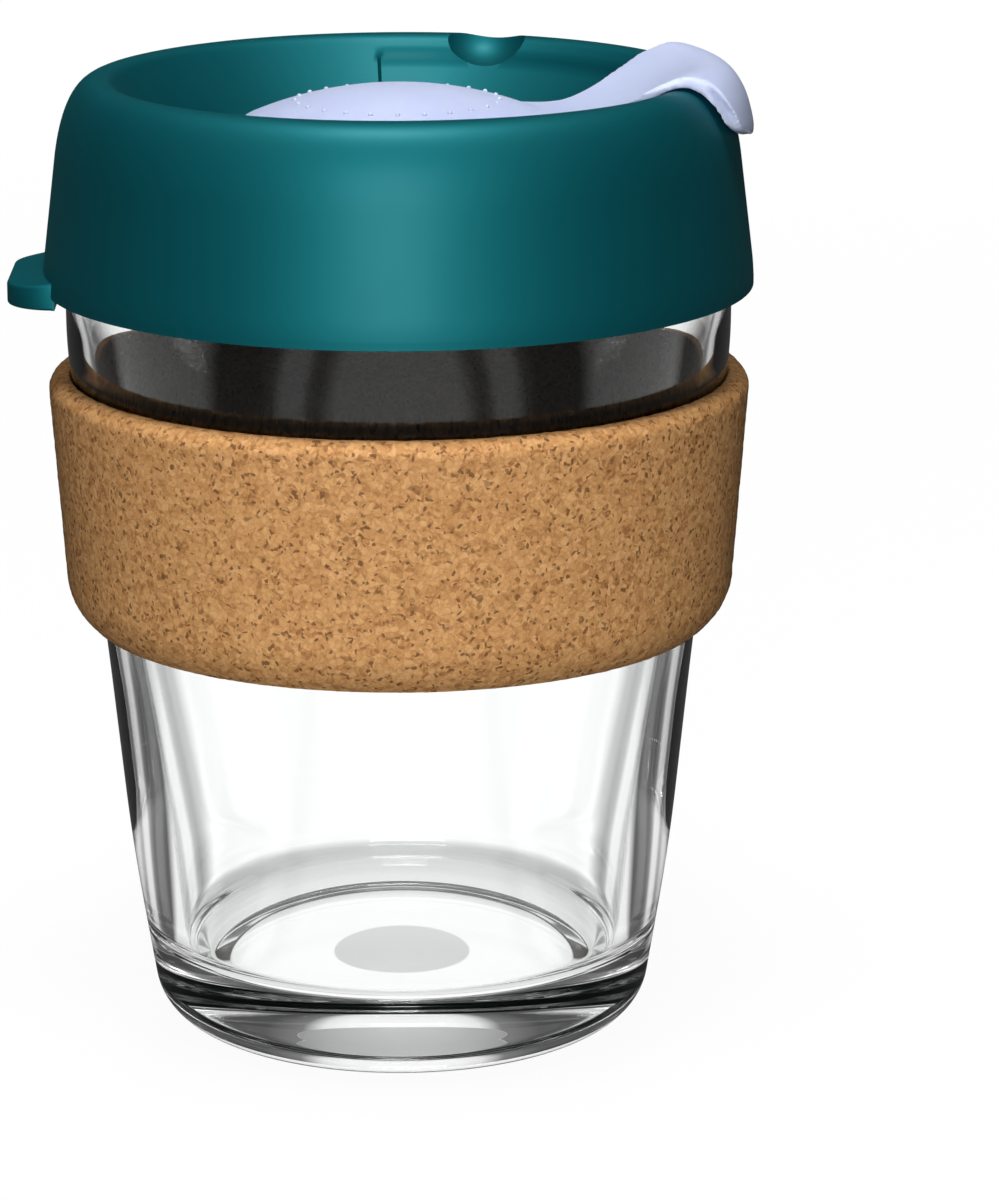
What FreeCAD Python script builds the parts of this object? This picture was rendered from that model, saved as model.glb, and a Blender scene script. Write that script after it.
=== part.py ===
import FreeCAD, Part
import math
import os
import re
import Sketcher

# Glass drinking cup with a cork grip band, a press-on lid and a turning stopper plug.
# Millimetres, +Z up. The origin is the middle of the ring that the cup stands on.
# The lid's lift tab points along -X and the plug's arm lies over the rim along +X.

sizes = {
    # glass cup
    "glass_height": 109.5,
    "rim_radius": 41.5,
    "rim_wall": 2.0,
    "rim_round": 0.9,
    "rim_zone": 18.5,         # straight length below the rim, where the lid grips
    "neck_height": 4.0,       # bend between the straight zone and the taper
    "neck_step": 0.2,
    "taper_drop": 5.1,        # from the band's lower edge down to where the long taper starts
    "taper_lean": 4.6,        # how much narrower than the rim the long taper starts
    "foot_lean": 6.0,         # and how much narrower again the foot is
    "foot_round": 6.5,
    "foot_bow": 0.5,
    "kick_inset": 6.1,        # from the foot's radius in to the hollow under the base
    "kick_depth": 1.0,
    "floor_thickness": 10.5,
    "foot_wall": 3.15,        # from the foot's radius in to the edge of the inner floor
    "floor_round": 3.5,
    # cork band
    "band_space": 11.3,       # clear glass between the lid and the band
    "band_height": 31.3,
    "band_gap": 0.12,
    "band_top_thickness": 2.75,
    "band_foot_rise": 5.5,    # height of the rounded lower corner
    "band_foot_thickness": 3.7,
    "band_lip": 1.3,
    "band_foot_curve": 7.3,
    "band_round": 1.9,
    # lid
    "seat_gap": 0.15,
    "skirt_fit": 0.2,
    "skirt_depth": 14.2,
    "skirt_thickness": 2.4,
    "skirt_round": 0.7,
    "lid_taper": 2.03,
    "lid_bow": 0.3,
    "widest_rise": 1.6,
    "shoulder_rise": 3.5,
    "shoulder_width": 5.07,
    "shoulder_height": 7.75,
    "crest_flat": 1.4,
    "crest_round": 2.0,
    "deck_rise": 2.5,
    "deck_thickness": 1.8,
    "bowl_radius": 29.0,
    "slope_wall": 3.0,        # thickness of the sloping wall, measured level
    "core_drop": 3.35,        # from the crest down to the top of the hollow below it
    "seal_gap": 0.2,
    "seal_thickness": 1.4,
    "seal_depth": 4.5,
    "tab_length": 4.1,        # how far the tab stands out past the skirt
    "tab_half_width": 12.2,
    "tab_thickness": 2.8,
    "tab_drop": 1.6,          # how far the tab hangs below the skirt
    "tab_lap": 2.1,           # how far its root is set into the skirt
    "tab_corner": 5.0,
    "tab_edge": 0.9,
    "track_depth": 0.9,
    "track_rise": 6.2,
    "track_start": -24.0,
    "stop_angle": 22.85,      # from the arm's middle to the edge that meets the stop
    "sip_inset": 1.6,         # from the foot of the bowl wall out to the drinking hole
    "sip_width": 2.3,
    "sip_half_angle": 8.5,
    "park_angle": 70.75,
    "scoop_half_angle": 7.5,
    "scoop_radius": 5.2,
    "scoop_inset": 3.4,       # from the rim's crest in to the scoop's centre
    "scoop_lift": 1.45,       # scoop's centre above the crest
    # plug
    "bore_radius": 5.0,
    "bore_clearance": 0.05,
    "disc_radius": 19.4,
    "disc_gap": 0.15,
    "disc_edge": 3.05,
    "dome_height": 4.1,
    "head_lip": 1.5,          # how far the snap head stands out past the bore
    "head_taper": 1.5,
    "head_gap": 0.3,
    "head_height": 2.4,
    "arm_root": 1.1,          # from the disc's edge out to the flexing waist
    "arm_lead": 2.0,          # spare length of the arm's section that its plan trims off
    "arm_waist_rise": 3.6,    # top of the waist above the deck
    "arm_thickness": 2.3,
    "root_lap": 4.0,          # how far the arm's root reaches in over the disc
    "waist_half_width": 9.5,
    "arm_half_width": 14.6,
    "arm_flare": 1.2,         # extra half width gained just before the rim
    "arm_half_angle": 32.0,
    "arm_root_bow": 0.9,
    "arm_crest_bow": 1.25,
    "arm_flank_bow": 0.9,
    "arm_shoulder_run": 2.6,  # from the crest in to where the arm starts to fall
    "arm_shoulder_drop": 1.15,
    "arm_flank_drop": 1.5,
    "arm_knee_inset": 0.9,
    "arm_knee_rise": 3.7,
    "arm_bowl_gap": 0.7,
    "arm_bowl_drop": 0.15,
    "arm_clearance": 0.3,
    "arm_cover": 1.65,        # plug thickness over the rim's crest
    "tip_thickness": 2.0,
    "tip_round": 0.6,
    "tip_straight": 2.0,
    "tip_trim": 0.2,
    "tip_lift": 4.6,          # rise of the tip's rounded corners
    "pad_lap_in": 0.7,        # how far the pad covers past the drinking hole
    "pad_lap_out": 0.4,
    "pad_lap_angle": 2.5,
    "pad_gap": 0.543,         # upright gap between the pad and the track
}

# Places worked out from the sizes above.
places = {
    "beyond": "2 * tab_reach",
    "skirt_z": "glass_height - skirt_depth",
    "band_top": "skirt_z - band_space",
    "band_bottom": "band_top - band_height",
    "band_foot_top": "band_bottom + band_foot_rise",
    "taper_z": "band_bottom - taper_drop",
    "neck_z": "glass_height - rim_zone",
    "taper_top_z": "neck_z - neck_height",
    "taper_top_radius": "rim_radius - neck_step",
    "taper_radius": "rim_radius - taper_lean",
    "foot_radius": "taper_radius - foot_lean",
    "kick_radius": "foot_radius - kick_inset",
    "floor_radius": "foot_radius - foot_wall",
    "taper_slope": "(taper_top_radius - taper_radius) / (taper_top_z - taper_z)",
    "rim_inner": "rim_radius - rim_wall",
    "rim_edge": "min(rim_round; 0.45 * rim_wall)",
    "band_inner_low": "taper_radius + taper_slope * (band_bottom - taper_z) + band_gap",
    "band_inner_mid": "taper_radius + taper_slope * (band_foot_top - taper_z) + band_gap",
    "band_inner_high": "taper_radius + taper_slope * (band_top - taper_z) + band_gap",
    "seat_z": "glass_height + seat_gap",
    "skirt_inner": "rim_radius + skirt_fit",
    "lid_radius": "skirt_inner + skirt_thickness",
    "tab_reach": "lid_radius + tab_length",
    "widest_z": "skirt_z + widest_rise",
    "shoulder_z": "glass_height + shoulder_rise",
    "shoulder_radius": "lid_radius - lid_taper",
    "crest_radius": "shoulder_radius - shoulder_width",
    "crest_z": "shoulder_z + shoulder_height",
    "turn_radius": "crest_radius + 0.643 * shoulder_width",
    "turn_z": "shoulder_z + 0.766 * shoulder_height",
    "side_drop": "shoulder_radius - turn_radius",
    "side_rise": "turn_z - shoulder_z",
    "side_curve": "(side_drop ^ 2 + side_rise ^ 2) / (2 * side_drop)",
    "top_run": "turn_radius - crest_radius",
    "top_rise": "crest_z - turn_z",
    "top_curve": "(top_run ^ 2 + top_rise ^ 2) / (2 * top_rise)",
    "deck_z": "glass_height + deck_rise",
    "deck_under": "deck_z - deck_thickness",
    "bowl_top_radius": "crest_radius - crest_flat",
    "bowl_slope": "(bowl_top_radius - bowl_radius) / (crest_z - deck_z)",
    "bowl_rate": "(crest_z - deck_z) / (bowl_top_radius - bowl_radius)",
    "core_z": "crest_z - core_drop",
    "seal_outer": "rim_inner - seal_gap",
    "seal_inner": "seal_outer - seal_thickness",
    "seal_z": "glass_height - seal_depth",
    "track_z": "deck_z + track_rise",
    "track_radius": "bowl_radius + bowl_slope * track_rise",
    "track_end": "park_angle + stop_angle",
    "sip_inner": "bowl_radius + sip_inset",
    "sip_outer": "sip_inner + sip_width",
    "disc_under": "deck_z + disc_gap",
    "disc_top": "disc_under + disc_edge",
    "boss_radius": "bore_radius - bore_clearance",
    "head_radius": "bore_radius + head_lip",
    "head_top": "deck_under - head_gap",
    "dome_curve": "(disc_radius ^ 2 + dome_height ^ 2) / (2 * dome_height)",
    "arm_start": "disc_radius + arm_root",
    "waist_z": "deck_z + arm_waist_rise",
    "waist_under": "waist_z - arm_thickness",
    "under_crest_z": "crest_z + arm_clearance",
    "arm_crest_z": "under_crest_z + arm_cover",
    "tip_inner": "shoulder_radius + arm_clearance",
    "tip_outer": "tip_inner + tip_thickness",
    "tip_fall": "tip_lift - tip_trim",
    "under_bowl_radius": "bowl_top_radius - arm_bowl_gap",
    "under_bowl_z": "crest_z - arm_bowl_drop",
    "under_knee_radius": "bowl_radius - arm_knee_inset",
    "under_knee_z": "deck_z + arm_knee_rise",
    "under_rate": "(under_bowl_z - under_knee_z) / (under_bowl_radius - under_knee_radius)",
    "pad_inner": "sip_inner - pad_lap_in",
    "pad_outer": "sip_outer + pad_lap_out",
    "pad_half_angle": "sip_half_angle + pad_lap_angle",
}

doc = FreeCAD.newDocument("drinking_cup")
sheet = doc.addObject("Spreadsheet::Sheet", "Sizes")
for row, (name, size) in enumerate(sizes.items(), start=1):
    sheet.set("A%d" % row, name)
    sheet.set("B%d" % row, str(size))
    sheet.setAlias("B%d" % row, name)
doc.recompute()

word = re.compile(r"[a-z_]+")


def bound(text):
    """The formula with every name replaced by its sheet cell."""
    def swap(match):
        name = match.group(0)
        if name in places:
            return "(" + bound(places[name]) + ")"
        if name in sizes:
            return "Sizes." + name
        return name
    return word.sub(swap, text)


def number(text):
    """The formula's present value."""
    return float(sheet.evalExpression(bound(text)))


def corner(across, up, bow=None, curve=None, inward=False, rounding=None):
    """One corner of an outline, and the shape of the edge that leaves it.

    bow is the height of an arc over its chord, curve is an arc's radius, and
    rounding is the radius of a round on the corner itself."""
    return {"across": across, "up": up, "bow": bow, "curve": curve,
            "inward": inward, "rounding": rounding}


def radius_of(here, there):
    """Formula for the radius of the arc from one corner to the next."""
    if here["curve"]:
        return here["curve"]
    chord = "((%s) - (%s)) ^ 2 + ((%s) - (%s)) ^ 2" % (
        there["across"], here["across"], there["up"], here["up"])
    return "((%s) / 4 + (%s) ^ 2) / (2 * (%s))" % (chord, here["bow"], here["bow"])


def arc(centre, radius, start, end):
    """A counter-clockwise arc for a sketch."""
    first = math.atan2(start.y - centre.y, start.x - centre.x)
    last = math.atan2(end.y - centre.y, end.x - centre.x)
    if last < first:
        last += 2 * math.pi
    circle = Part.Circle(centre, FreeCAD.Vector(0, 0, 1), radius)
    return Part.ArcOfCircle(circle, first, last)


def pin_point(sketch, geometry, end, across, up):
    """Hold a sketch point at two formulas, measured from the sketch's origin."""
    for kind, text, axis in (("DistanceX", across, -2), ("DistanceY", up, -1)):
        if number(text) == 0:
            sketch.addConstraint(Sketcher.Constraint("PointOnObject", geometry, end, axis))
            continue
        rule = Sketcher.Constraint(kind, -1, 1, geometry, end, number(text))
        sketch.setExpression("Constraints[%d]" % sketch.addConstraint(rule), bound(text))


def pin_radius(sketch, geometry, text):
    rule = Sketcher.Constraint("Radius", geometry, number(text))
    sketch.setExpression("Constraints[%d]" % sketch.addConstraint(rule), bound(text))


def outline(body, name, corners, plane="XZ_Plane", turn=None, raised=None):
    """A closed sketch through the corners, taken counter-clockwise."""
    sketch = body.newObject("Sketcher::SketchObject", name)
    origin = [item for item in body.Origin.OriginFeatures if item.Role == plane][0]
    sketch.AttachmentSupport = [(origin, "")]
    sketch.MapMode = "FlatFace"
    if turn:
        sketch.AttachmentOffset = FreeCAD.Placement(
            FreeCAD.Vector(), FreeCAD.Rotation(FreeCAD.Vector(0, 1, 0), number(turn)))
        sketch.setExpression("AttachmentOffset.Rotation.Angle", bound(turn))
    if raised:
        sketch.setExpression("AttachmentOffset.Base.z", bound(raised))
    add_loop(sketch, corners)
    return sketch


def add_loop(sketch, corners):
    """Add one closed loop of edges and corner rounds to a sketch."""
    count = len(corners)
    points = [FreeCAD.Vector(number(c["across"]), number(c["up"]), 0) for c in corners]
    ways = [(points[(i + 1) % count] - points[i]).normalize() for i in range(count)]
    starts = list(points)
    ends = [points[(i + 1) % count] for i in range(count)]
    rounds = {}
    for i, item in enumerate(corners):
        if item["rounding"]:
            before, after = ways[i - 1], ways[i]
            left = before.x * after.y - before.y * after.x > 0
            angle = before.getAngle(after)
            trim = number(item["rounding"]) * math.tan(angle / 2)
            ends[i - 1] = points[i] - before * trim
            starts[i] = points[i] + after * trim
            rounds[i] = left
    edges = []
    for i, item in enumerate(corners):
        start, end = starts[i], ends[i]
        if not (item["bow"] or item["curve"]):
            made = sketch.addGeometry(Part.LineSegment(start, end), False)
            edges.append((made, 1, 2))
            continue
        text = radius_of(item, corners[(i + 1) % count])
        radius = number(text)
        half = (end - start).Length / 2
        inner_side = FreeCAD.Vector(-ways[i].y, ways[i].x, 0)
        depth = math.sqrt(max(radius ** 2 - half ** 2, 0))
        middle = (start + end) * 0.5
        if item["inward"]:
            made = sketch.addGeometry(arc(middle - inner_side * depth, radius, end, start), False)
            edges.append((made, 2, 1))
        else:
            made = sketch.addGeometry(arc(middle + inner_side * depth, radius, start, end), False)
            edges.append((made, 1, 2))
        pin_radius(sketch, made, text)
    for i, item in enumerate(corners):
        before, after = edges[i - 1], edges[i]
        if i not in rounds:
            sketch.addConstraint(Sketcher.Constraint(
                "Coincident", before[0], before[2], after[0], after[1]))
            pin_point(sketch, after[0], after[1], item["across"], item["up"])
            continue
        mark = sketch.addGeometry(Part.Point(points[i]), True)
        pin_point(sketch, mark, 1, item["across"], item["up"])
        sketch.addConstraint(Sketcher.Constraint("PointOnObject", mark, 1, before[0]))
        sketch.addConstraint(Sketcher.Constraint("PointOnObject", mark, 1, after[0]))
        radius = number(item["rounding"])
        way = ways[i - 1]
        side = FreeCAD.Vector(-way.y, way.x, 0) * (radius if rounds[i] else -radius)
        centre = ends[i - 1] + side
        if rounds[i]:
            made = sketch.addGeometry(arc(centre, radius, ends[i - 1], starts[i]), False)
            joins = ((before, 1), (after, 2))
        else:
            made = sketch.addGeometry(arc(centre, radius, starts[i], ends[i - 1]), False)
            joins = ((before, 2), (after, 1))
        (first, first_end), (second, second_end) = joins
        sketch.addConstraint(Sketcher.Constraint("Tangent", first[0], first[2], made, first_end))
        sketch.addConstraint(Sketcher.Constraint("Tangent", made, second_end, second[0], second[1]))
        pin_radius(sketch, made, item["rounding"])


def new_body(label):
    body = doc.addObject("PartDesign::Body", label)
    body.Label = label
    return body


def spin(body, sketch, kind="Revolution", sweep=None):
    """Turn a sketch round the cup's axis, to add material or to cut it away."""
    feature = body.newObject("PartDesign::" + kind, sketch.Name + "_" + kind.lower())
    feature.Profile = sketch
    feature.ReferenceAxis = (sketch, ["V_Axis"])
    feature.Angle = 360.0
    if sweep:
        feature.setExpression("Angle", bound(sweep))
    before = body.Shape.Volume if body.Shape and not body.Shape.isNull() else 0.0
    doc.recompute()
    body.Tip = feature
    doc.recompute()
    change = body.Shape.Volume - before
    if (kind == "Groove") != (change < 0):
        raise ValueError("%s changed nothing it should: %.3f" % (feature.Name, change))
    return feature


def extrude(body, sketch, kind, length=None, backwards=False):
    """Pad or pocket a sketch."""
    feature = body.newObject("PartDesign::" + kind, sketch.Name + "_" + kind.lower())
    feature.Profile = sketch
    feature.Reversed = backwards
    if length:
        feature.Length = number(length)
        feature.setExpression("Length", bound(length))
    else:
        feature.Type = "ThroughAll"
        feature.Midplane = not backwards
    before = body.Shape.Volume
    doc.recompute()
    body.Tip = feature
    doc.recompute()
    change = body.Shape.Volume - before
    if (kind == "Pocket") != (change < 0):
        raise ValueError("%s changed nothing it should: %.3f" % (feature.Name, change))
    return feature


def make_glass_cup():
    """Tempered glass tumbler: thick base, bowed foot, long taper, straight rim zone."""
    body = new_body("glass_cup")
    section = outline(body, "glass_section", [
        corner("0", "kick_depth", curve="(kick_radius ^ 2 + kick_depth ^ 2) / (2 * kick_depth)",
               inward=True),
        corner("kick_radius", "0"),
        corner("foot_radius", "0", bow="foot_bow", rounding="foot_round"),
        corner("taper_radius", "taper_z"),
        corner("taper_top_radius", "taper_top_z"),
        corner("rim_radius", "neck_z"),
        corner("rim_radius", "glass_height", rounding="rim_edge"),
        corner("rim_inner", "glass_height", rounding="rim_edge"),
        corner("rim_inner", "neck_z"),
        corner("floor_radius", "floor_thickness", rounding="floor_round"),
        corner("0", "floor_thickness"),
    ])
    spin(body, section)
    return body


def make_cork_band():
    """Cork grip band, bored to the glass's taper."""
    body = new_body("cork_band")
    section = outline(body, "band_section", [
        corner("band_inner_low", "band_bottom"),
        corner("band_inner_low + band_lip", "band_bottom", curve="band_foot_curve"),
        corner("band_inner_mid + band_foot_thickness", "band_foot_top"),
        corner("band_inner_high + band_top_thickness", "band_top", rounding="band_round"),
        corner("band_inner_high", "band_top"),
    ])
    spin(body, section)
    return body


def make_lid():
    """Press-on lid: outer skirt, rounded rim, bowl with a deck, seal skirt and lift tab."""
    body = new_body("lid")
    slope_at_under = "bowl_radius - bowl_slope * deck_thickness + slope_wall"
    slope_at_core = "bowl_radius + bowl_slope * (core_z - deck_z) + slope_wall"
    section = outline(body, "lid_section", [
        corner("skirt_inner", "skirt_z"),
        corner("lid_radius", "skirt_z", rounding="skirt_round"),
        corner("lid_radius", "widest_z", bow="lid_bow"),
        corner("shoulder_radius", "shoulder_z", curve="side_curve"),
        corner("turn_radius", "turn_z", curve="top_curve"),
        corner("crest_radius", "crest_z"),
        corner("bowl_top_radius", "crest_z", rounding="crest_round"),
        corner("bowl_radius", "deck_z"),
        corner("bore_radius", "deck_z"),
        corner("bore_radius", "deck_under"),
        corner(slope_at_under, "deck_under"),
        corner(slope_at_core, "core_z"),
        corner("seal_inner", "core_z"),
        corner("seal_inner", "seal_z"),
        corner("seal_outer", "seal_z"),
        corner("seal_outer", "seat_z"),
        corner("skirt_inner", "seat_z"),
    ])
    spin(body, section)
    add_lift_tab(body)
    cut_track(body)
    cut_sip_hole(body)
    cut_scoop(body)
    return body


def add_lift_tab(body):
    """Thumb tab on the skirt's lower edge, opposite the plug's arm."""
    root = "-(lid_radius - tab_lap)"
    sketch = outline(body, "tab_plan", [
        corner(root, "tab_half_width"),
        corner("-tab_reach", "tab_half_width", rounding="tab_corner"),
        corner("-tab_reach", "-tab_half_width", rounding="tab_corner"),
        corner(root, "-tab_half_width"),
    ], plane="XY_Plane", raised="skirt_z - tab_drop")
    pad = extrude(body, sketch, "Pad", length="tab_thickness")
    low = number("skirt_z - tab_drop")
    high = number("skirt_z - tab_drop + tab_thickness")
    edges = []
    for index, edge in enumerate(body.Shape.Edges, start=1):
        box = edge.BoundBox
        level = box.ZLength < 0.001 and min(abs(box.ZMin - low), abs(box.ZMin - high)) < 0.001
        if level and box.XMax < -number("lid_radius") * 0.9 and box.XMin < -number("lid_radius") - 0.3:
            edges.append("Edge%d" % index)
    fillet = body.newObject("PartDesign::Fillet", "tab_fillet")
    fillet.Base = (pad, edges)
    fillet.setExpression("Radius", bound("tab_edge"))
    doc.recompute()
    body.Tip = fillet
    doc.recompute()


def cut_track(body):
    """Shallow recess round the bowl wall that the plug's seal pad turns in."""
    sketch = outline(body, "track_section", [
        corner("bowl_radius - 1", "deck_z"),
        corner("bowl_radius + track_depth", "deck_z"),
        corner("track_radius + track_depth", "track_z"),
        corner("track_radius - 1", "track_z"),
    ], turn="track_start")
    spin(body, sketch, "Groove", "track_end - track_start")


def cut_sip_hole(body):
    """Drinking hole through the sloping wall, under the plug's arm."""
    sketch = outline(body, "sip_section", [
        corner("sip_inner", "deck_under - 1"),
        corner("sip_outer", "deck_under - 1"),
        corner("sip_outer", "crest_z"),
        corner("sip_inner", "crest_z"),
    ], turn="-sip_half_angle")
    spin(body, sketch, "Groove", "2 * sip_half_angle")


def cut_scoop(body):
    """Finger scoop in the rim's inner side, where the arm parks when the cup is open."""
    centre = "crest_radius - scoop_inset"
    height = "crest_z + scoop_lift"
    sketch = outline(body, "scoop_section", [
        corner(centre, height + " - scoop_radius", curve="scoop_radius"),
        corner(centre + " + scoop_radius", height, curve="scoop_radius"),
        corner(centre, height + " + scoop_radius"),
    ], turn="park_angle - scoop_half_angle")
    spin(body, sketch, "Groove", "2 * scoop_half_angle")


def make_plug_disc():
    """Domed disc of the plug, with the boss and snap head that hold it in the lid."""
    body = new_body("plug_disc")
    section = outline(body, "disc_section", [
        corner("0", "head_top - head_height"),
        corner("head_radius - head_taper", "head_top - head_height"),
        corner("head_radius", "head_top"),
        corner("boss_radius", "head_top"),
        corner("boss_radius", "disc_under"),
        corner("disc_radius", "disc_under"),
        corner("disc_radius", "disc_top", curve="dome_curve"),
        corner("0", "disc_top + dome_height"),
    ])
    spin(body, section)
    root = outline(body, "root_plan", [
        corner("disc_radius - root_lap", "-waist_half_width"),
        corner("arm_start", "-waist_half_width"),
        corner("arm_start", "waist_half_width"),
        corner("disc_radius - root_lap", "waist_half_width"),
    ], plane="XY_Plane", raised="waist_under")
    extrude(body, root, "Pad", length="arm_thickness")
    return body


def make_plug_arm():
    """Wide tongue that rises over the rim and hooks down outside it."""
    body = new_body("plug_arm")
    section = outline(body, "arm_section", [
        corner("arm_start - arm_lead", "waist_under"),
        corner("under_knee_radius - root_lap", "waist_under"),
        corner("under_knee_radius", "under_knee_z"),
        corner("under_bowl_radius", "under_bowl_z"),
        corner("crest_radius", "under_crest_z", curve="top_curve + arm_clearance", inward=True),
        corner("turn_radius + 0.84 * arm_clearance", "turn_z + 0.54 * arm_clearance",
               curve="side_curve + arm_clearance", inward=True),
        corner("tip_inner", "shoulder_z"),
        corner("tip_outer", "shoulder_z", rounding="tip_round"),
        corner("tip_outer", "shoulder_z + tip_straight", bow="arm_flank_bow"),
        corner("shoulder_radius", "arm_crest_z - arm_flank_drop", bow="arm_crest_bow"),
        corner("crest_radius - arm_shoulder_run", "arm_crest_z - arm_shoulder_drop",
               bow="arm_root_bow", inward=True),
        corner("arm_start - arm_lead", "waist_z"),
    ], turn="-arm_half_angle")
    spin(body, section, "Revolution", "2 * arm_half_angle")
    plan = outline(body, "arm_plan", [
        corner("arm_root", "-beyond"),
        corner("beyond", "-beyond"),
        corner("beyond", "beyond"),
        corner("arm_root", "beyond"),
    ], plane="XY_Plane")
    add_loop(plan, [
        corner("arm_start", "-waist_half_width"),
        corner("bowl_radius + arm_lead", "-arm_half_width + arm_flare"),
        corner("bowl_top_radius", "-arm_half_width"),
        corner("tip_outer + arm_lead", "-arm_half_width"),
        corner("tip_outer + arm_lead", "arm_half_width"),
        corner("bowl_top_radius", "arm_half_width"),
        corner("bowl_radius + arm_lead", "arm_half_width - arm_flare"),
        corner("arm_start", "waist_half_width"),
    ])
    extrude(body, plan, "Pocket")
    trim_tip(body)
    return body


def trim_tip(body):
    """Round the lower edge of the hook so that it hangs as a tongue."""
    tongue = "(arm_half_width ^ 2 + tip_fall ^ 2) / (2 * tip_fall)"
    lip = outline(body, "tip_front", [
        corner("-arm_half_width - arm_lead", "shoulder_z - arm_lead"),
        corner("arm_half_width + arm_lead", "shoulder_z - arm_lead"),
        corner("arm_half_width + arm_lead", "shoulder_z + tip_lift"),
        corner("arm_half_width", "shoulder_z + tip_lift", curve=tongue, inward=True),
        corner("0", "shoulder_z + tip_trim", curve=tongue, inward=True),
        corner("-arm_half_width", "shoulder_z + tip_lift"),
        corner("-arm_half_width - arm_lead", "shoulder_z + tip_lift"),
    ], plane="YZ_Plane", raised="crest_radius")
    extrude(body, lip, "Pocket", length="beyond - crest_radius", backwards=True)


def make_plug_stopper():
    """Seal pad under the arm: it lies in the track, over the drinking hole."""
    body = new_body("plug_stopper")
    lower = "deck_z + bowl_rate * (%s - bowl_radius - track_depth) + pad_gap"
    upper = "under_knee_z + under_rate * (%s - under_knee_radius)"
    section = outline(body, "pad_section", [
        corner("pad_inner", lower % "pad_inner"),
        corner("pad_outer", lower % "pad_outer"),
        corner("pad_outer", upper % "pad_outer"),
        corner("pad_inner", upper % "pad_inner"),
    ], turn="-pad_half_angle")
    spin(body, section, "Revolution", "2 * pad_half_angle")
    return body


def check(item):
    """Stop if anything in the document has failed."""
    if "Invalid" in item.State or "Error" in item.State:
        raise ValueError("failed: %s %s" % (item.Name, item.State))


bodies = [make_glass_cup(), make_cork_band(), make_lid(), make_plug_disc(),
          make_plug_arm(), make_plug_stopper()]
doc.recompute()
for item in doc.Objects:
    check(item)
for body in bodies:
    if body.Shape.isNull() or not body.Shape.isValid() or len(body.Shape.Solids) != 1:
        raise ValueError("%s is not one sound solid" % body.Label)

os.makedirs("parts", exist_ok=True)
for body in bodies:
    body.Shape.exportStep("parts/%s.step" % body.Label)
    box = body.Shape.BoundBox
    print("%-13s %9.1f mm3  x %.2f..%.2f  y %.2f..%.2f  z %.2f..%.2f" % (
        body.Label, body.Shape.Volume, box.XMin, box.XMax, box.YMin, box.YMax,
        box.ZMin, box.ZMax))
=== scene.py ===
import bpy
import math
from mathutils import Euler, Matrix, Vector


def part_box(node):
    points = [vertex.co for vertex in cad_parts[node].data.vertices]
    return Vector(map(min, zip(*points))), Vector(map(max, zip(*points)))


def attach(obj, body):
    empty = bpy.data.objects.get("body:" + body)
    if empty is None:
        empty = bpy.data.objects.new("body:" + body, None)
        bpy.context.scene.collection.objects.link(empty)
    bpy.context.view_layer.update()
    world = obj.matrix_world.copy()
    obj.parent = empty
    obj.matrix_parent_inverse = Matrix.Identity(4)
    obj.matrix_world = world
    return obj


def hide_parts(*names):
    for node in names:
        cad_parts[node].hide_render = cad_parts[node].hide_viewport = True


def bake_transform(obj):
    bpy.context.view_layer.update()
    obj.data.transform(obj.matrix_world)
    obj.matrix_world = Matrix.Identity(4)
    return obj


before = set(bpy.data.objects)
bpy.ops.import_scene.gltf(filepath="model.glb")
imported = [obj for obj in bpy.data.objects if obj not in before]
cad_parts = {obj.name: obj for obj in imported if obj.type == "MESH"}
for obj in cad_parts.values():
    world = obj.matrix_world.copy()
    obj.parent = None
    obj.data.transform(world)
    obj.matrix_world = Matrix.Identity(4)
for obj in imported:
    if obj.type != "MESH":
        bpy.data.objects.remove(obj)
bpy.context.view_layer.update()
mm = 0.001

# Heights and widths that every piece is built from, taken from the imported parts.
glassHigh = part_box("glass_cup")[1]
bandLow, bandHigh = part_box("cork_band")
lidLow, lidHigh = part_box("lid")
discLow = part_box("plug_disc")[0]
glassTop = glassHigh[2] / mm
rimRadius = glassHigh[0] / mm
bandBottom = bandLow[2] / mm
bandTop = bandHigh[2] / mm
lidBottom = lidLow[2] / mm
lidCrest = lidHigh[2] / mm
lidRadius = lidHigh[0] / mm
discBottom = discLow[2] / mm


def deselectAll():
    if bpy.context.object and bpy.context.object.mode != "OBJECT":
        bpy.ops.object.mode_set(mode="OBJECT")
    bpy.ops.object.select_all(action="DESELECT")


def makeActive(piece):
    deselectAll()
    piece.select_set(True)
    bpy.context.view_layer.objects.active = piece


def applyModifier(piece, kind, **settings):
    makeActive(piece)
    bpy.ops.object.modifier_add(type=kind)
    modifier = piece.modifiers[-1]
    for key, value in settings.items():
        setattr(modifier, key, value)
    bpy.ops.object.modifier_apply(modifier=modifier.name)


def removePiece(piece):
    bpy.data.objects.remove(piece, do_unlink=True)


# Straight runs with rounded corners, each given as (across, up, radius).
def roundedPath(corners, finest=0.35):
    path = []
    last = len(corners) - 1
    for i, (across, up, radius) in enumerate(corners):
        here = Vector((across, up))
        if radius == 0 or i in (0, last):
            path.append(here)
            continue
        before = (here - Vector(corners[i - 1][:2])).normalized()
        after = (Vector(corners[i + 1][:2]) - here).normalized()
        turn = before.angle(after)
        trim = radius * math.tan(turn / 2)
        side = 1 if before.x * after.y - before.y * after.x > 0 else -1
        centre = here - before * trim + Vector((-before.y, before.x)) * radius * side
        spoke = here - before * trim - centre
        steps = max(2, min(16, math.ceil(radius * turn / finest)))
        for step in range(steps + 1):
            angle = side * turn * step / steps
            path.append(centre + Vector((
                spoke.x * math.cos(angle) - spoke.y * math.sin(angle),
                spoke.x * math.sin(angle) + spoke.y * math.cos(angle))))
    return path


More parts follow.
